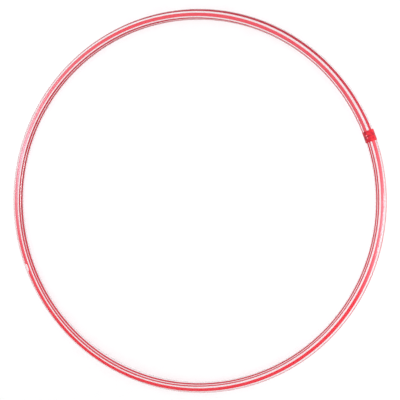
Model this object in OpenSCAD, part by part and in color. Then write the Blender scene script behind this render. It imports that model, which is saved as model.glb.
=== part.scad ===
// Gymnastics hoop: a clear plastic tube bent into a ring, with red colour
// lines on its bore, closed by a plug, two staples and a wrap of tape.
// The hoop lies flat. Its centre is the origin, and its axis is +Z.
//
// Round the ring, places are angles from +X, anticlockwise from above.
// Round the tube's section, they are angles from +Z: 90 faces away from the
// hoop's centre, and -90 faces the centre.

/* [Ring] */
// Outside diameter of the hoop
hoop_d = 650; // [500:10:900]
// Outside diameter of the tube
tube_d = 18; // [16:1:22]
// Wall thickness of the clear tube
wall = 1.2; // [1:0.1:2]

/* [Colour lines] */
// Thickness of the coloured layer on the bore
line_t = 0.3; // [0.2:0.1:0.5]
// Width of the wide stripe, in degrees of the section
wide_w = 39; // [30:1:44]
// Width of the narrow stripe at the start of the tube
narrow_w = 33; // [16:1:36]
// Width of the fine stripe beside the wide one
near_w = 16; // [6:1:18]
// Width of the other fine stripe
far_w = 21; // [8:1:24]
// Length of the bare window in the wide stripe's edge
window_l = 14; // [6:1:30]

/* [Joint] */
// Place of the joint round the ring
joint_at = 19.5; // [0:0.5:359.5]
// Gap left between the two cut ends
seam_gap = 1; // [0.5:0.1:2]
// Length of the plug inside both ends
plug_l = 70; // [50:5:110]
// Width of the tape
tape_w = 19; // [15:1:25]
// Thickness of one layer of tape, with its adhesive
tape_t = 0.2; // [0.1:0.05:0.3]
// Crown length of a staple
staple_l = 6; // [5:0.5:7]
// Thickness of the staple wire, which is square
wire = 0.6; // [0.4:0.1:0.8]

/* [Hidden] */
$fn = 96;

tube_r = tube_d / 2;
bore_r = tube_r - wall;
ring_r = hoop_d / 2 - tube_r;

// A length along the tube's centre line, as an angle round the ring
function along(length) = length / ring_r * 180 / PI;

seam_angle = along(seam_gap);
tube_turn = 360 - seam_angle;

// The colour lines are bonded to the bore. Their solids stand a hair inside
// it, more than the chords between their rings cut into the true curve.
ring_step = 2.5;
line_gap = 0.1;
line_r = bore_r - line_gap;

// How the lines wander as the tube was drawn and coiled: the wide stripe's
// place in the section at every eighth of the way along the tube.
wander = [-26, -21, -6, 1, 5, 18, 14, 16, 24];
span = 360 / (len(wander) - 1);

// Places of the other lines, from the middle of the wide stripe
narrow_at = 60;
near_at = -46;
far_at = -74;
// The narrow stripe fades to this share of its width along the tube
narrow_end = 0.6;

// The window: a bare patch in the wide stripe's outer edge, half way along
window_s = 181.2;
window_depth = 19;
window_edge = 0.05;

plug_gap = 0.05;
plug_r = line_r - line_t - plug_gap;
plug_turn = along(plug_l);

tape_layers = 2;
tape_r = tube_r + tape_layers * tape_t;
tape_gap = 0.02;
tape_turn = along(tape_w);
// The last, shorter layer of the tape lies on the outside of the ring
lap_from = 25;
lap_to = 155;

staple_leg = 6.5;
staple_off = 5.2;
// A crown is driven this far below the tube's surface
staple_sink = 0.1;

// A place along the tube, s degrees from its start, on the ring's angle scale
function ring_angle(s) = joint_at + seam_angle / 2 + s * tube_turn / 360;

// A smooth curve through the wander's values
function wander_key(i) = wander[max(0, min(len(wander) - 1, i))];
function smooth(a, b, c, d, t) =
    b + (c - a) * t / 2
    + (2 * a - 5 * b + 4 * c - d) * pow(t, 2) / 2
    + (3 * b - a - 3 * c + d) * pow(t, 3) / 2;
function wide_at(s) =
    let (i = min(len(wander) - 2, floor(s / span)), t = s / span - i)
    smooth(wander_key(i - 1), wander_key(i), wander_key(i + 1), wander_key(i + 2), t);

function ease(t) = let (u = max(0, min(1, t))) u * u * (3 - 2 * u);

// A point at radius r from the tube's centre line
function on_tube(r, section, s) =
    let (out = ring_r + r * sin(section), a = ring_angle(s))
    [out * cos(a), out * sin(a), r * cos(section)];

// Places of the rings that a line is swept through. The extra ones give the
// window its square end.
plain_rings = [for (i = [0 : 360 / ring_step]) i * ring_step];
window_end = window_s + along(window_l);
window_rings = concat([for (s = plain_rings) if (s < window_s) s],
                      [window_s, window_s + window_edge, window_end],
                      [for (s = plain_rings) if (s > window_end) s]);

// One colour line: a thin curved strip swept along the bore. lows and highs
// hold the section angles of its two edges at each ring.
module line(rings, lows, highs, steps) {
    count = 2 * (steps + 1);
    last = len(rings) - 1;
    points = [for (k = [0 : last], i = [0 : count - 1])
        let (upper = i <= steps,
             t = upper ? i / steps : (count - 1 - i) / steps,
             r = upper ? line_r : line_r - line_t)
        on_tube(r, lows[k] + (highs[k] - lows[k]) * t, rings[k])];
    sides = [for (k = [0 : last - 1], i = [0 : count - 1])
        let (a = k * count + i, b = k * count + (i + 1) % count)
        each [[a, a + count, b], [b, a + count, b + count]]];
    start_cap = [for (i = [0 : steps - 1])
        each [[i, i + 1, count - 2 - i], [i, count - 2 - i, count - 1 - i]]];
    base = last * count;
    end_cap = [for (f = start_cap) [base + f[2], base + f[1], base + f[0]]];
    polyhedron(points, concat(start_cap, sides, end_cap));
}

// A line of even width, or one that fades towards the end of the tube
module even_line(offset, width, end_share, steps) {
    half = [for (s = plain_rings) width / 2 * (1 - (1 - end_share) * ease(s / 180))];
    middle = [for (s = plain_rings) wide_at(s) + offset];
    line(plain_rings, middle - half, middle + half, steps);
}

// Part of a bent bar or pipe, between two angles of the ring
module bent(turn, from) {
    rotate([0, 0, from])
        rotate_extrude(angle = turn)
            translate([ring_r, 0])
                children();
}

// A staple on the side of the tube that faces the hoop's centre, side -1 or
// 1 of the seam, with its legs driven outwards through the wall
module staple(side) {
    crown_r = ring_r - tube_r + staple_sink;
    rotate([0, 0, joint_at + side * along(staple_off)])
        translate([crown_r, 0, 0]) {
            translate([0, -staple_l / 2, -wire / 2])
                cube([wire, staple_l, wire]);
            for (end = [-1, 1])
                translate([0, end * (staple_l - wire) / 2 - wire / 2, -wire / 2])
                    cube([staple_leg, wire, wire]);
        }
}

module staples() {
    staple(-1);
    staple(1);
}

// The sunk crown's slot, open to the tube's surface
module staple_slots() {
    staples();
    for (side = [-1, 1])
        rotate([0, 0, joint_at + side * along(staple_off)])
            translate([ring_r - tube_r - wire, -staple_l / 2, -wire / 2])
                cube([2 * wire, staple_l, wire]);
}

module clear_tube() {
    color([0.93, 0.94, 0.97, 0.45])
        difference() {
            bent(tube_turn, joint_at + seam_angle / 2)
                difference() {
                    circle(r = tube_r);
                    circle(r = bore_r);
                }
            staple_slots();
        }
}

module wide_stripe() {
    inside = [for (s = window_rings) s > window_s && s < window_end];
    lows = [for (s = window_rings) wide_at(s) - wide_w / 2];
    highs = [for (k = [0 : len(window_rings) - 1])
        wide_at(window_rings[k]) + wide_w / 2 - (inside[k] ? window_depth : 0)];
    color([0.93, 0.22, 0.28])
        line(window_rings, lows, highs, 6);
}

module narrow_stripe() {
    color([0.75, 0.2, 0.27])
        even_line(narrow_at, narrow_w, narrow_end, 4);
}

module fine_stripe_near() {
    color([0.86, 0.25, 0.32])
        even_line(near_at, near_w, 1, 2);
}

module fine_stripe_far() {
    color([0.8, 0.22, 0.3])
        even_line(far_at, far_w, 1, 2);
}

module joint_plug() {
    color([0.9, 0.91, 0.93])
        difference() {
            bent(plug_turn, joint_at - plug_turn / 2)
                circle(r = plug_r);
            staples();
        }
}

module joint_staples() {
    color([0.6, 0.6, 0.62])
        staples();
}

// Two full layers, and a last lap that ends on the outside of the ring
module joint_tape() {
    color([0.9, 0.1, 0.15])
        bent(tape_turn, joint_at - tape_turn / 2) {
            difference() {
                circle(r = tape_r);
                circle(r = tube_r + tape_gap);
            }
            intersection() {
                difference() {
                    circle(r = tape_r + tape_t);
                    circle(r = tape_r - tape_t / 2);
                }
                lap_sector();
            }
        }
}

// The sector of the section that the tape's last lap covers
module lap_sector() {
    reach = 2 * tube_r;
    polygon(concat([[0, 0]],
        [for (a = [lap_from, (lap_from + lap_to) / 2, lap_to]) [reach * sin(a), reach * cos(a)]]));
}

clear_tube();
wide_stripe();
narrow_stripe();
fine_stripe_near();
fine_stripe_far();
joint_plug();
joint_staples();
joint_tape();
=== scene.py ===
"""Looks of a rhythmic gymnastics hoop: a clear plastic tube bent into a ring, with red colour
lines bonded to its bore, closed by a plug, two staples and a wound wrap of red tape.

Places round the ring are angles from +X. Places round the tube's section are angles from +Z:
90 degrees faces away from the hoop's centre. A distance along the tube is given as an angle
too, from 0 at one cut end to 360 at the other. Sizes are in metres."""

import math

import bpy
import numpy as np
from mathutils import Matrix, Vector


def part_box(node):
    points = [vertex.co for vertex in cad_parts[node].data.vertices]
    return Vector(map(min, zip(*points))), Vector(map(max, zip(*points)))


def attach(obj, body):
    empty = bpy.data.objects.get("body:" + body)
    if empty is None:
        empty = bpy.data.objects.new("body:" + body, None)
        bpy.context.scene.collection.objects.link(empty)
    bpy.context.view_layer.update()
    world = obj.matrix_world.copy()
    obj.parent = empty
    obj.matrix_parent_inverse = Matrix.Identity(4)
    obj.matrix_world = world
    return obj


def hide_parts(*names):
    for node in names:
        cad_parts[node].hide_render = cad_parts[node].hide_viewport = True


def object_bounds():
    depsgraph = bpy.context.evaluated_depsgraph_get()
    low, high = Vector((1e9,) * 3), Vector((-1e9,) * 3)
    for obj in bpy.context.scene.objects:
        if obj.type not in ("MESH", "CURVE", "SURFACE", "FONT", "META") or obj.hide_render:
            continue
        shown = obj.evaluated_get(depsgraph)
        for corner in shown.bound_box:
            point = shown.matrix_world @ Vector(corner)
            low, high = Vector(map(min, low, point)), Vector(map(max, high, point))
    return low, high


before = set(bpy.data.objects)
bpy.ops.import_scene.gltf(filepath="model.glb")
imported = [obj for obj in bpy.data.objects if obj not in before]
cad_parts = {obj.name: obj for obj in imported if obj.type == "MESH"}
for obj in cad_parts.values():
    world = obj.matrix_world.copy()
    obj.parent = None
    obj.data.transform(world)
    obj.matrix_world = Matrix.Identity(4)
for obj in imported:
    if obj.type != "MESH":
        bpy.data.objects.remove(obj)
cad_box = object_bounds()

# --- Sizes: the ring, tube and plug as packed, and the design's own values ---

TUBE_LOW, TUBE_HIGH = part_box("clear_tube")
TUBE_R = TUBE_HIGH.z
RING_R = (TUBE_HIGH.x - TUBE_LOW.x) / 2 - TUBE_R
PLUG_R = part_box("joint_plug")[1].z
WALL = 0.0012
BORE_R = TUBE_R - WALL

JOINT_AT = 19.5
SEAM_GAP = 0.001

# The wide stripe's place in the section at every eighth of the way along the tube
WANDER = (-26, -21, -6, 1, 5, 18, 14, 16, 24)

# --- Geometry helpers ---


def along(length):
    """A length along the tube's centre line, as an angle round the ring."""
    return math.degrees(length / RING_R)


SEAM_ANGLE = along(SEAM_GAP)


def ring_angle(s):
    """The ring angle of a place s degrees along the tube."""
    return JOINT_AT + SEAM_ANGLE / 2 + np.asarray(s, float) * (360 - SEAM_ANGLE) / 360


def on_tube(radius, section, at):
    """Points at a radius from the tube's centre line, for a section angle and a ring angle."""
    section, at = np.radians(section), np.radians(at)
    out = RING_R + radius * np.sin(section)
    return np.stack([out * np.cos(at), out * np.sin(at), radius * np.cos(section)], axis=-1)


def wide_at(s):
    """The wide stripe's section angle, on a smooth curve through WANDER."""
    keys = np.array((WANDER[0],) + WANDER + (WANDER[-1],), float)
    place = np.clip(np.asarray(s, float) / 360 * (len(WANDER) - 1), 0, len(WANDER) - 1.0001)
    i = place.astype(int)
    t = place - i
    a, b, c, d = keys[i], keys[i + 1], keys[i + 2], keys[i + 3]
    return (b + (c - a) * t / 2 + (2 * a - 5 * b + 4 * c - d) * t**2 / 2
            + (3 * b - a - 3 * c + d) * t**3 / 2)


def ease(t):
    t = np.clip(t, 0, 1)
    return t * t * (3 - 2 * t)


def ripple(s, waves):
    """A slow, fixed unevenness along the tube, from (cycles per turn, size, phase) waves."""
    return sum(size * np.sin(np.radians(s) * cycles + phase) for cycles, size, phase in waves)


def grid_piece(name, points, coords, close_rows=False, caps=False):
    """A smooth mesh piece from rows of points, each row a closed loop, with a UV map of metres
    along and around. The rows close on themselves too, or end in caps."""
    rows, cols = points.shape[:2]
    row_steps = rows if close_rows else rows - 1
    faces = []
    for i in range(row_steps):
        for j in range(cols):
            i2, j2 = (i + 1) % rows, (j + 1) % cols
            faces.append((i * cols + j, i2 * cols + j, i2 * cols + j2, i * cols + j2))
    if caps:
        faces.append(tuple(range(cols)))
        faces.append(tuple((rows - 1) * cols + j for j in reversed(range(cols))))
    mesh = bpy.data.meshes.new(name)
    mesh.from_pydata(points.reshape(-1, 3).tolist(), [], faces)
    flat = coords.reshape(-1, 2)
    layer = mesh.uv_layers.new(name="Along")
    loops = np.zeros(len(mesh.loops), np.int32)
    mesh.loops.foreach_get("vertex_index", loops)
    layer.data.foreach_set("uv", flat[loops].astype(np.float32).ravel())
    mesh.polygons.foreach_set("use_smooth", [True] * len(mesh.polygons))
    mesh.update()
    piece = bpy.data.objects.new(name, mesh)
    bpy.context.scene.collection.objects.link(piece)
    return piece


def outwards(piece):
    """Turns a closed piece's faces outwards."""
    bpy.context.view_layer.objects.active = piece
    piece.select_set(True)
    bpy.ops.object.mode_set(mode="EDIT")
    bpy.ops.mesh.select_all(action="SELECT")
    bpy.ops.mesh.normals_make_consistent(inside=False)
    bpy.ops.object.mode_set(mode="OBJECT")
    piece.select_set(False)


# --- Materials ---

# How fine the ragged edge of a spot on the tape is
RAG_SCALE = 900


class Nodes:
    """A material's node tree, with short ways to add what the materials here share."""

    def __init__(self, name):
        self.material = bpy.data.materials.new(name)
        self.material.use_nodes = True
        self.tree = self.material.node_tree
        self.shader = self.tree.nodes["Principled BSDF"]

    def add(self, kind, **values):
        node = self.tree.nodes.new(kind)
        for key, value in values.items():
            setattr(node, key, value)
        return node

    def link(self, output, socket):
        self.tree.links.new(output, socket)

    def set(self, **values):
        for key, value in values.items():
            self.shader.inputs[key.replace("_", " ")].default_value = value

    def place(self):
        """Metres along and around the tube, from the UV map."""
        return self.add("ShaderNodeUVMap", uv_map="Along").outputs["UV"]

    def part_of_place(self, axis):
        """Metres along the tube, for axis X, or around it, for axis Y."""
        split = self.add("ShaderNodeSeparateXYZ")
        self.link(self.place(), split.inputs["Vector"])
        return split.outputs[axis]

    def maths(self, operation, value, other=None):
        """The answer of an operation on a value, and on a constant or a second value where it
        takes one."""
        node = self.add("ShaderNodeMath", operation=operation)
        self.link(value, node.inputs[0])
        if isinstance(other, float):
            node.inputs[1].default_value = other
        elif other is not None:
            self.link(other, node.inputs[1])
        return node.outputs["Value"]

    def noise(self, scale, stretch=(1, 1), detail=3.0, rough=0.5):
        """Noise over the metres along and around the tube, stretched each way."""
        stretched = self.add("ShaderNodeMapping")
        stretched.inputs["Scale"].default_value = (*stretch, 1)
        noise = self.add("ShaderNodeTexNoise")
        noise.inputs["Scale"].default_value = scale
        noise.inputs["Detail"].default_value = detail
        noise.inputs["Roughness"].default_value = rough
        self.link(self.place(), stretched.inputs["Vector"])
        self.link(stretched.outputs["Vector"], noise.inputs["Vector"])
        return noise.outputs["Fac"]

    def share_along(self):
        """The share of the way along the tube, from 0 to 1."""
        return self.span(self.part_of_place("X"), 0, 2 * math.pi * RING_R, 0, 1)

    def share_across(self, reach):
        """0 at a line's inner edge and 1 at its outer edge, reach metres from its middle."""
        return self.span(self.part_of_place("Y"), -reach, reach, 0, 1)

    def blend(self, share, first, second):
        """The first colour where share is 0, and the second where it is 1."""
        mix = self.add("ShaderNodeMixRGB")
        self.link(share, mix.inputs["Fac"])
        self.link(first, mix.inputs["Color1"])
        self.link(second, mix.inputs["Color2"])
        return mix.outputs["Color"]

    def painted_seam_shade(self, width, depth):
        """Painted crease shade: 0 away from the seam, and down to -depth at the seam itself."""
        distance = self.maths("ABSOLUTE", self.part_of_place("X"))
        return self.span(distance, 0, width, -depth, 0)

    def painted_flank_shade(self, clear, full, depth):
        """Painted shade on a flank of the tube: 0 up to where the section angle's sine is clear,
        and down to -depth where it is full. The sine is -1 where the tube faces the hoop's centre."""
        section = self.maths("DIVIDE", self.part_of_place("Y"), TUBE_R)
        return self.span(self.maths("SINE", section), full, clear, -depth, 0)

    def spot(self, under, place, size, colour):
        """A soft, ragged spot of colour at a place on the UV map, laid over another colour."""
        distance = self.add("ShaderNodeVectorMath", operation="DISTANCE")
        distance.inputs[1].default_value = (*place, 0)
        self.link(self.place(), distance.inputs[0])
        mix = self.add("ShaderNodeMixRGB")
        mix.inputs["Color2"].default_value = (*colour, 1)
        wobble = self.span(self.noise(RAG_SCALE), 0, 1, -size, size)
        ragged = self.plus(distance.outputs["Value"], wobble)
        self.link(self.span(ragged, size, size / 2, 0, 1), mix.inputs["Fac"])
        self.link(under, mix.inputs["Color1"])
        return mix.outputs["Color"]

    def plus(self, a, b):
        return self.maths("ADD", a, b)

    def ramp(self, value, stops):
        """A colour ramp of (position, colour) stops over a value."""
        node = self.add("ShaderNodeValToRGB")
        elements = node.color_ramp.elements
        while len(elements) < len(stops):
            elements.new(0.5)
        for element, (position, colour) in zip(elements, stops):
            element.position = position
            element.color = (*colour, 1)
        self.link(value, node.inputs["Fac"])
        return node.outputs["Color"]

    def span(self, value, low, high, new_low, new_high):
        """A value moved from one range to another, and held inside it."""
        node = self.add("ShaderNodeMapRange")
        for name, number in zip(("From Min", "From Max", "To Min", "To Max"),
                                (low, high, new_low, new_high)):
            node.inputs[name].default_value = number
        self.link(value, node.inputs["Value"])
        return node.outputs["Result"]

    def bump(self, height, distance, strength, under=None):
        """A bump of the given depth in metres, laid on an earlier one if there is one."""
        node = self.add("ShaderNodeBump")
        node.inputs["Strength"].default_value = strength
        node.inputs["Distance"].default_value = distance
        self.link(height, node.inputs["Height"])
        if under is not None:
            self.link(under, node.inputs["Normal"])
        self.link(node.outputs["Normal"], self.shader.inputs["Normal"])
        return node.outputs["Normal"]

    def drive(self, socket, output):
        """Lets an output set one of the shader's values."""
        self.link(output, self.shader.inputs[socket])

    def let_lamps_through(self, tint):
        """Plastic this thin casts hardly any shadow on paper this bright: lamps and stray light
        shine through it."""
        path = self.add("ShaderNodeLightPath")
        clear = self.add("ShaderNodeBsdfTransparent")
        clear.inputs["Color"].default_value = (*tint, 1)
        look = self.shader.outputs["BSDF"]
        for ray in ("Is Shadow Ray", "Is Diffuse Ray"):
            mix = self.add("ShaderNodeMixShader")
            self.link(path.outputs[ray], mix.inputs["Fac"])
            self.link(look, mix.inputs[1])
            self.link(clear.outputs["BSDF"], mix.inputs[2])
            look = mix.outputs["Shader"]
        self.link(look, self.tree.nodes["Material Output"].inputs["Surface"])

    def absorb(self, colour, density):
        """The tint that light takes on through the thickness of the plastic."""
        volume = self.add("ShaderNodeVolumeAbsorption")
        volume.inputs["Color"].default_value = (*colour, 1)
        volume.inputs["Density"].default_value = density
        self.link(volume.outputs["Volume"], self.tree.nodes["Material Output"].inputs["Volume"])


def clear_plastic():
    """Clear glossy tube: faint die lines along it, and patches of fine scuffs."""
    m = Nodes("clear_plastic")
    m.set(Base_Color=(0.985, 0.985, 0.99, 1), Transmission_Weight=1.0, IOR=1.49,
          Coat_Weight=0.1, Coat_IOR=1.5, Coat_Roughness=0.12)
    scuffs = m.noise(25, (1, 3), 6, 0.65)
    m.drive("Roughness", m.span(scuffs, 0.35, 0.75, 0.1, 0.15))
    m.bump(m.noise(1, (4, 1500), 2), 0.00001, 0.15)
    m.let_lamps_through((0.996, 0.993, 0.993))
    m.absorb((0.91, 0.77, 0.8), 120)
    return m.material


# Half the wide line's width, along the bore
LINE_REACH = 0.0026


def pigment(name, deep, pale_colour, pale_stops):
    """A colour line on the bore: streaked along the tube, and paler in stretches along it and
    across it. Its stops of paleness hold (share of the way along the tube, how pale the line's
    inner edge is, how pale its outer edge is)."""
    m = Nodes(name)
    m.set(IOR=1.49, Specular_IOR_Level=0.05)
    streaks = m.noise(1, (9, 900), 4, 0.6)
    share = m.share_along()
    # Paleness by stops, along the line and across it; on the bright line it is painted light
    inner = m.ramp(share, [(stop, (level,) * 3) for stop, level, _ in pale_stops])
    outer = m.ramp(share, [(stop, (level,) * 3) for stop, _, level in pale_stops])
    paleness = m.blend(m.share_across(LINE_REACH), inner, outer)
    tone = m.plus(paleness, m.span(streaks, 0.25, 0.8, -0.03, 0.04))
    m.drive("Base Color", m.ramp(tone, [(0.0, deep), (1.0, pale_colour)]))
    m.drive("Roughness", m.span(m.noise(90, (1, 2)), 0.3, 0.7, 0.32, 0.55))
    m.bump(streaks, 0.00003, 0.4)
    m.let_lamps_through((0.99, 0.91, 0.92))
    return m.material


def natural_plastic():
    """Uncoloured plastic rod, slightly cloudy, with turning marks."""
    m = Nodes("natural_plastic")
    m.set(Base_Color=(0.96, 0.96, 0.97, 1), Transmission_Weight=0.9, IOR=1.5)
    cloud = m.noise(140, detail=4)
    m.drive("Roughness", m.span(cloud, 0.3, 0.7, 0.18, 0.4))
    m.bump(m.noise(1, (30, 1200)), 0.00003, 0.4)
    return m.material


# A pinch in the tape where it spans the seam, on its last full turn, painted on: its place round
# the winding, in degrees, and its painted shade in the middle and painted glints at its two ends,
# as (distance from the seam, size, colour)
PINCH_AT = 692
PINCH_SHADE_AND_GLINTS = ((0, 0.0009, (0.05, 0.005, 0.02)), (0.0019, 0.001, (0.95, 0.62, 0.68)),
         (-0.0019, 0.0009, (0.92, 0.45, 0.55)))


def tape_film():
    """Stretched PVC tape: semi-gloss, with painted shade in the seam and on both flanks, painted
    shade and glints at a pinch, fine stretch marks and a pebbled film."""
    m = Nodes("tape_film")
    m.set(IOR=1.53, Specular_IOR_Level=0.38, Coat_Weight=0.05, Coat_Roughness=0.12)
    patches = m.noise(190, (1, 1.2), 2, 0.4)
    # Painted shade: darker in the crease over the seam and on both flanks of the tape
    tone = m.plus(patches, m.painted_seam_shade(0.0011, 0.25))
    tone = m.plus(tone, m.painted_flank_shade(0, -0.7, 0.14))
    tone = m.plus(tone, m.painted_flank_shade(0.8, 0.97, 0.22))
    skin = m.ramp(tone, [(0.1, (0.24, 0.002, 0.014)), (0.38, (0.54, 0.002, 0.02)),
                         (0.5, (0.73, 0.002, 0.02)), (0.68, (0.82, 0.022, 0.032))])
    around = math.radians(PINCH_AT) * TUBE_R
    # Painted shade at the pinch's middle, and painted glints at its two ends
    for x, size, colour in PINCH_SHADE_AND_GLINTS:
        skin = m.spot(skin, (x, around), size, colour)
    m.drive("Base Color", skin)
    marks = m.noise(1, (2600, 60), 4, 0.6)
    m.drive("Roughness", m.span(m.noise(300), 0.3, 0.7, 0.25, 0.42))
    pebble = m.bump(m.noise(2500, detail=2), 0.00002, 0.35)
    m.bump(marks, 0.00006, 0.5, pebble)
    return m.material


def staple_steel():
    """Galvanised wire with drawing marks."""
    m = Nodes("staple_steel")
    m.set(Metallic=1.0)
    marks = m.noise(1, (120, 5000), 4, 0.6)
    m.drive("Base Color", m.ramp(marks, [(0.3, (0.42, 0.42, 0.44)), (0.7, (0.68, 0.68, 0.7))]))
    m.drive("Roughness", m.span(marks, 0.3, 0.7, 0.25, 0.5))
    m.bump(marks, 0.00002, 0.5)
    return m.material


def floor_paper():
    """Plain white studio paper, matte, with a trace of grain."""
    m = Nodes("floor_paper")
    m.set(Roughness=0.9, Specular_IOR_Level=0.2)
    place = m.add("ShaderNodeTexCoord")
    grain = m.add("ShaderNodeTexNoise")
    grain.inputs["Scale"].default_value = 40
    m.link(place.outputs["Object"], grain.inputs["Vector"])
    m.drive("Base Color", m.ramp(grain.outputs["Fac"],
                                 [(0.2, (0.88, 0.88, 0.885)), (0.8, (0.91, 0.91, 0.91))]))
    return m.material


def shadowless(piece):
    """The light comes from all round, so the small wrap and what it holds shade no paper."""
    piece.visible_shadow = False
    piece.visible_diffuse = False


def dress(piece, material, node):
    """Gives a piece its material and slot, stands it for its CAD node, and fixes it to the hoop."""
    piece.data.materials.append(material)
    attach(piece, "root")
    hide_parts(node)
    return piece


# --- The tube ---

# Radius of the tube's rounded cut edges
EDGE_R = 0.00015


def make_tube(material):
    """The clear tube: its outside, its rounded cut ends and its bore, as one closed skin."""
    steps, around, turns = 480, 64, 4
    bend = np.linspace(0, 90, turns + 1)
    edge = EDGE_R * (1 - np.sin(np.radians(bend)))
    drop = EDGE_R * (1 - np.cos(np.radians(bend)))
    inset = along(1) * edge * 360 / (360 - SEAM_ANGLE)
    ring = np.linspace(inset[0], 360 - inset[0], steps + 1)
    outer_s = np.concatenate([inset[:0:-1], ring, 360 - inset[1:]])
    outer_r = TUBE_R - np.concatenate([drop[:0:-1], np.zeros(steps + 1), drop[1:]])
    inner_r = BORE_R + (TUBE_R - outer_r)
    s = np.concatenate([outer_s, outer_s[::-1]])
    r = np.concatenate([outer_r, inner_r[::-1]])
    section = np.arange(around) * 360 / around
    points = on_tube(r[:, None], section[None, :], ring_angle(s)[:, None])
    length = np.radians(s)[:, None] * RING_R + 0 * section
    girth = np.radians(section)[None, :] * TUBE_R + 0 * s[:, None]
    piece = grid_piece("clear_tube_skin", points, np.stack([length, girth], -1), close_rows=True)
    outwards(piece)
    return dress(piece, material, "clear_tube")


# --- The colour lines ---

LINE_T = 0.0003
# The lines' faces lie this far inside the clear wall, so that no film of air parts them
LINE_SINK = 0.00005
# The narrow line has tapered to its end width this far along the tube
TAPERED_BY = 180
# A line's two edges waver by these (cycles per turn, degrees of the section, phase) waves
EDGE_WAVES = ((7, 0.25, 0.4), (17, 0.2, 1.9), (41, 0.15, 4.1))

# The window: its start and length, how deep it bites, and how far along the tube its blunt
# start and its tapered end are cut, in degrees
WINDOW_S = 181.2
WINDOW_L = 0.014
WINDOW_DEPTH = 19
BLUNT = 0.12
TAPER = 1.0

# Where a drifting line moves over in two equal steps, and where it comes back: each a stretch
# of the tube, as (start, length)
DRIFT_OUT = ((50, 30), (110, 30))
DRIFT_BACK = (235, 35)


def line_rings():
    """Places of a line's rings: even, and closer at the window's ends."""
    even = np.linspace(0, 360, 721)
    start = np.linspace(-BLUNT, BLUNT, 9) + WINDOW_S
    end = np.linspace(-0.9 * TAPER, 0.3 * TAPER, 13) + WINDOW_S + along(WINDOW_L)
    return np.unique(np.concatenate([even, start, end]))


def window_cut(s):
    """How far the window bites into the wide stripe's outer edge: blunt at its start, then
    tapering back to the full stripe."""
    end = WINDOW_S + along(WINDOW_L)
    start_bite = ease((s - WINDOW_S + BLUNT / 2) / BLUNT)
    end_bite = 1 - ease((s - end + 0.8 * TAPER) / TAPER)
    return WINDOW_DEPTH * start_bite * end_bite


def drifted(s):
    """The share of its drift that a line has made: 0 at both ends of the tube."""
    out = [ease((s - start) / length) for start, length in DRIFT_OUT]
    return sum(out) / len(out) - ease((s - DRIFT_BACK[0]) / DRIFT_BACK[1])


def make_line(name, node, material, offset, width, steps, end_share=1.0, drift=0,
              swell=((0, 1.0),), window=False):
    """A colour line: a thin curved strip along the bore. offset, width and drift are degrees of
    the section. offset is its place from the middle of the wide line, drift is how far it moves
    from there and back, and swell holds (place, share of the width) stops for an uneven feed."""
    s = line_rings()
    taper = 1 - (1 - end_share) * ease(s / TAPERED_BY)
    half = width / 2 * taper * np.interp(s, *zip(*swell))
    middle = wide_at(s) + offset + drift * drifted(s)
    low = middle - half + ripple(s + offset, EDGE_WAVES)
    high = middle + half + ripple(s * 1.01 - offset, EDGE_WAVES)
    if window:
        high = high - window_cut(s)
    across = np.linspace(0, 1, steps + 1)
    outer, inner = BORE_R + LINE_SINK, BORE_R + LINE_SINK - LINE_T
    t = np.concatenate([across, across[::-1]])
    r = np.concatenate([np.full(steps + 1, outer), np.full(steps + 1, inner)])
    section = low[:, None] + (high - low)[:, None] * t[None, :]
    points = on_tube(r[None, :], section, ring_angle(s)[:, None])
    length = np.radians(s)[:, None] * RING_R + 0 * section
    coords = np.stack([length, np.radians(section - middle[:, None]) * outer], -1)
    piece = grid_piece(name, points, coords, caps=True)
    outwards(piece)
    return dress(piece, material, node)


# --- The plug and the staples ---

PLUG_L = 0.070
PLUG_CHAMFER = 0.0009
# Radius of the small flat in the middle of each of the plug's ends
PLUG_FLAT_R = 0.0001

# A staple's crown and legs, its distance from the seam, how far its crown is sunk in the tube,
# and its square wire
STAPLE_L = 0.006
STAPLE_LEG = 0.0065
STAPLE_OFF = 0.0052
STAPLE_SINK = 0.0001
WIRE = 0.0006
# Radius of a staple's bends, along the middle of its wire
BEND_R = 0.0006
# Where the wire's square outline starts to round, and how thin its tips are, as shares
ROUND_FROM = 0.75
TIP_SHARE = 0.25


def make_plug(material):
    """The curved rod inside both tube ends, with chamfered ends."""
    steps, around = 60, 48
    half = along(PLUG_L) / 2
    cut = along(PLUG_CHAMFER)
    at = np.concatenate([[-half, -half], np.linspace(-half + cut, half - cut, steps), [half, half]])
    r = np.full(len(at), PLUG_R)
    r[[1, -2]] = PLUG_R - PLUG_CHAMFER
    r[[0, -1]] = PLUG_FLAT_R
    section = np.arange(around) * 360 / around
    points = on_tube(r[:, None], section[None, :], JOINT_AT + at[:, None])
    length = np.radians(at)[:, None] * RING_R + 0 * section
    girth = np.radians(section)[None, :] * PLUG_R + 0 * at[:, None]
    piece = grid_piece("plug_rod", points, np.stack([length, girth], -1), caps=True)
    outwards(piece)
    return dress(piece, material, "joint_plug")


def staple_path():
    """A staple's bent centre line, as (depth from the crown, place along the tube) points."""
    half = STAPLE_L / 2 - WIRE / 2
    leg = [(STAPLE_LEG - WIRE / 2, half), (0.004, half), (0.002, half)]
    corner = [(BEND_R - BEND_R * math.sin(a), half - BEND_R + BEND_R * math.cos(a))
              for a in np.radians(np.linspace(0, 90, 6))]
    side = leg + corner
    return side + [(0, 0.001), (0, -0.001)] + [(d, -p) for d, p in reversed(side)]


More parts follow.
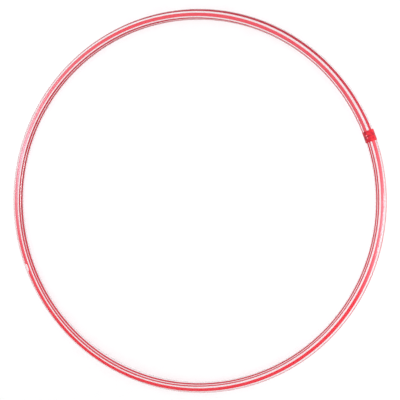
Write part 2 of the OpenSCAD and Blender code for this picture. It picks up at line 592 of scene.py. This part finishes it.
def make_staples(material):
    """Both staples, as square wire swept along the bent path, with chisel tips."""
    path = np.array(staple_path())
    tangent = np.gradient(path, axis=0)
    tangent /= np.linalg.norm(tangent, axis=1)[:, None]
    normal = np.stack([-tangent[:, 1], tangent[:, 0]], 1)
    h = WIRE / 2
    k = h * ROUND_FROM
    outline = [(h, k), (h, -k), (k, -h), (-k, -h), (-h, -k), (-h, k), (-k, h), (k, h)]
    size = np.ones(len(path))
    size[[0, -1]] = TIP_SHARE
    run = np.concatenate([[0], np.cumsum(np.linalg.norm(np.diff(path, axis=0), axis=1))])
    top = RING_R - TUBE_R + STAPLE_SINK + h
    pieces = []
    for side in (-1, 1):
        at = math.radians(JOINT_AT + side * along(STAPLE_OFF))
        out = np.array([math.cos(at), math.sin(at)])
        lengthwise = np.array([-math.sin(at), math.cos(at)])
        points = np.zeros((len(path), len(outline), 3))
        coords = np.zeros((len(path), len(outline), 2))
        for j, (a, b) in enumerate(outline):
            flat = path + normal * a * size[:, None]
            points[:, j, :2] = (top + flat[:, :1]) * out + flat[:, 1:] * lengthwise
            points[:, j, 2] = b * size
            coords[:, j] = np.stack([run, np.full(len(path), j * WIRE / 2)], -1)
        piece = grid_piece(f"staple_{'start' if side > 0 else 'end'}", points, coords, caps=True)
        outwards(piece)
        pieces.append(dress(piece, material, "joint_staples"))
    return pieces


# --- The tape ---

TAPE_W = 0.019
TAPE_T = 0.0002
# The tape is wound for this many full turns and a last lap, from a place in the section
TAPE_TURNS = 2
LAP_LENGTH = 130
LAP_FROM = 25
# The film itself is this share of a layer, and the first layer stands this far off the tube
FILM_SHARE = 0.94
TAPE_GAP = 0.00001
# A new turn climbs onto the one below over this many degrees
CLIMB = 7
# How far the winding wanders to the side, how far each turn lies beyond the last, how far the
# edges are set in to leave room for both, and how much they waver
WANDER_SIZE = 0.00025
TURN_STEP = 0.0002
EDGE_INSET = 0.0005
EDGE_WAVER = 0.00006
# The tape sags into the seam between the tube's ends, but never deeper than the limit
CREASE_DEPTH = 0.00022
CREASE_WIDTH = 0.0009
SAG_LIMIT = 0.00025
# Small folds where the film is pulled towards the seam, and the rolled down rims of its edges
PULL_DEPTH = 0.00005
PULL_WIDTH = 0.003
RIM_DROP = 0.00006


def make_tape(material):
    """The tape: one strip wound round the joint, each turn stepping up over the one below, with
    its film drawn into the seam and its edges a little uneven."""
    around, across = 360, 56
    total = 360 * TAPE_TURNS + LAP_LENGTH
    wound = np.linspace(0, total, int(total / 360 * around))
    turn = np.floor(wound / 360)
    step = ease((wound - 360 * turn) / CLIMB)
    level = np.where(turn > 0, turn - 1 + step, 0.0)
    base = TUBE_R + TAPE_GAP + TAPE_T * level
    place = np.linspace(-1, 1, across)
    angle = np.radians(wound)
    drift = WANDER_SIZE * np.sin(angle * 0.7 + 0.5) + TURN_STEP * (turn - 1)
    half = TAPE_W / 2 - EDGE_INSET + EDGE_WAVER * np.sin(angle * 5)
    x = drift[:, None] + half[:, None] * place[None, :]
    crease = CREASE_DEPTH * np.exp(-(x / CREASE_WIDTH) ** 2)
    pull = PULL_DEPTH * np.sin(angle * 11)[:, None] * np.exp(-(x / PULL_WIDTH) ** 2)
    rim = RIM_DROP * (np.abs(place) ** 24)[None, :]
    section = (LAP_FROM + wound)[:, None] + 0 * x
    lift = -crease * (level[:, None] + 1) / (TAPE_TURNS + 1) + pull * level[:, None] / 2 - rim
    inner = base[:, None] + np.maximum(lift, -SAG_LIMIT)
    outer = inner + TAPE_T * FILM_SHARE
    radius = np.concatenate([outer, inner[:, ::-1]], axis=1)
    width = np.concatenate([x, x[:, ::-1]], axis=1)
    section = np.concatenate([section, section[:, ::-1]], axis=1)
    points = on_tube(radius, section, JOINT_AT + np.degrees(width / RING_R))
    coords = np.stack([width, np.radians(section) * TUBE_R], -1)
    piece = grid_piece("tape_wrap", points, coords, caps=True)
    outwards(piece)
    return dress(piece, material, "joint_tape")


# --- Floor, light and camera ---

# The paper reaches this far each way, to the horizon in low views
FLOOR_REACH = 40.0


def make_floor():
    """A wide sheet of white paper under the hoop."""
    reach, z = FLOOR_REACH, cad_box[0][2]
    mesh = bpy.data.meshes.new("floor")
    corners = [(-reach, -reach, z), (reach, -reach, z), (reach, reach, z), (-reach, reach, z)]
    mesh.from_pydata(corners, [], [(0, 1, 2, 3)])
    mesh.materials.append(floor_paper())
    floor = bpy.data.objects.new("floor", mesh)
    bpy.context.scene.collection.objects.link(floor)


def soft_box(name, place, aim, size, spread, power):
    """A soft light at a place, with a grid that keeps its beam within a spread, in degrees."""
    data = bpy.data.lights.new(name, "AREA")
    data.shape = "RECTANGLE"
    data.size, data.size_y = size
    data.energy = power
    data.spread = math.radians(spread)
    light = bpy.data.objects.new(name, data)
    light.location = place
    light.rotation_euler = (Vector(aim) - light.location).to_track_quat("-Z", "Y").to_euler()
    light.visible_camera = False
    bpy.context.scene.collection.objects.link(light)


# The light tent's brightness, and its grey at (height, grey) stops from the horizon up
TENT_STRENGTH = 1.2
TENT = ((0.0, 0.5), (0.25, 0.75), (1.0, 0.97))


def make_light():
    """A pale light tent that is dimmer at the horizon, and a small soft box at each side."""
    soft_box("left_box", (-0.74, 0.23, 0.7), (-0.66, 0.2, 0), (0.3, 0.5), 104, 0.6)
    soft_box("right_box", (1.07, -0.16, 0.5), (0.32, -0.03, 0), (0.4, 0.4), 120, 1.5)
    world = bpy.data.worlds.new("tent")
    bpy.context.scene.world = world
    world.use_nodes = True
    tree = world.node_tree
    place = tree.nodes.new("ShaderNodeTexCoord")
    split = tree.nodes.new("ShaderNodeSeparateXYZ")
    ramp = tree.nodes.new("ShaderNodeValToRGB")
    ramp.color_ramp.elements.new(0.5)
    for element, (position, grey) in zip(ramp.color_ramp.elements, TENT):
        element.position = position
        element.color = (grey, grey, grey, 1)
    tree.links.new(place.outputs["Generated"], split.inputs["Vector"])
    tree.links.new(split.outputs["Z"], ramp.inputs["Fac"])
    tree.links.new(ramp.outputs["Color"], tree.nodes["Background"].inputs["Color"])
    tree.nodes["Background"].inputs["Strength"].default_value = TENT_STRENGTH


def make_camera():
    """Looks down on the hoop, a little from +X, which is the side nearer to it."""
    distance, tilt, bearing = 1.28, math.radians(14.2), math.radians(3.3)
    aim = Vector((0.0184, 0.0024, 0))
    data = bpy.data.cameras.new("camera")
    data.lens = 67.9
    data.sensor_width = 36
    camera = bpy.data.objects.new("camera", data)
    sideways = math.sin(tilt)
    towards = Vector((sideways * math.cos(bearing), sideways * math.sin(bearing), math.cos(tilt)))
    camera.location = towards * distance
    back = (camera.location - aim).normalized()
    right = Vector((0, 1, 0)).cross(back).normalized()
    camera.rotation_euler = Matrix((right, back.cross(right), back)).transposed().to_euler()
    bpy.context.scene.collection.objects.link(camera)
    bpy.context.scene.camera = camera


# --- The scene ---

make_camera()
make_light()
make_floor()
bpy.context.scene.view_settings.view_transform = "Standard"

# How pale the pigments are along the tube, as pigment() takes it. On the bright line the
# paleness is painted light: painted highlights on the ring's -X and +X sides, where the lamps'
# soft reflections lie, and a painted sheen along its +Y side.
BRIGHT_PAINTED_HIGHLIGHTS = (
    (0.0, 0.14, 0.14), (0.25, 0.1, 0.1), (0.32, 0.22, 0.22), (0.36, 0.36, 0.38), (0.405, 1.0, 0.42),
    (0.445, 0.6, 0.15), (0.485, 0.15, 0.1), (0.58, 0.0, 0.0), (0.86, 0.02, 0.02),
    (0.905, 0.12, 0.42), (0.932, 0.25, 0.6), (0.968, 0.18, 0.3), (1.0, 0.1, 0.15))
CRIMSON_PALENESS = (
    (0.0, 0.5, 0.5), (0.1, 0.0, 0.0), (0.42, 0.0, 0.0), (0.52, 0.4, 0.4), (1.0, 0.4, 0.4))

# How the thinner lines swell along the tube, as make_line() takes it
NARROW_SWELL = ((25, 1.0), (55, 1.18), (80, 1.18), (110, 1.0))
NEAR_SWELL = ((60, 1.0), (85, 1.25), (140, 1.3), (165, 1.2), (215, 1.25), (240, 1.05), (265, 0.85),
              (300, 0.78), (330, 1.0))
FAR_SWELL = ((0, 1.0), (30, 0.85), (75, 0.8), (100, 1.0), (125, 1.1), (145, 1.2), (160, 1.35),
             (185, 1.35), (215, 1.08), (300, 1.0))

# The bright line's pale colour is painted highlight and sheen
bright = pigment("red_line", (0.77, 0.004, 0.024), (0.77, 0.49, 0.6), BRIGHT_PAINTED_HIGHLIGHTS)
crimson = pigment("dark_red_line", (0.47, 0.01, 0.032), (0.8, 0.06, 0.09), CRIMSON_PALENESS)

make_tube(clear_plastic())
make_line("wide_line", "wide_stripe", bright, 0, 39, 14, window=True)
make_line("narrow_line", "narrow_stripe", crimson, 60, 33, 10, end_share=0.6,
          swell=NARROW_SWELL)
make_line("fine_line_near", "fine_stripe_near", crimson, -47, 16, 6, drift=4,
          swell=NEAR_SWELL)
make_line("fine_line_far", "fine_stripe_far", crimson, -74, 21, 6,
          swell=FAR_SWELL)
shadowless(make_plug(natural_plastic()))
for wire_piece in make_staples(staple_steel()):
    shadowless(wire_piece)
shadowless(make_tape(tape_film()))
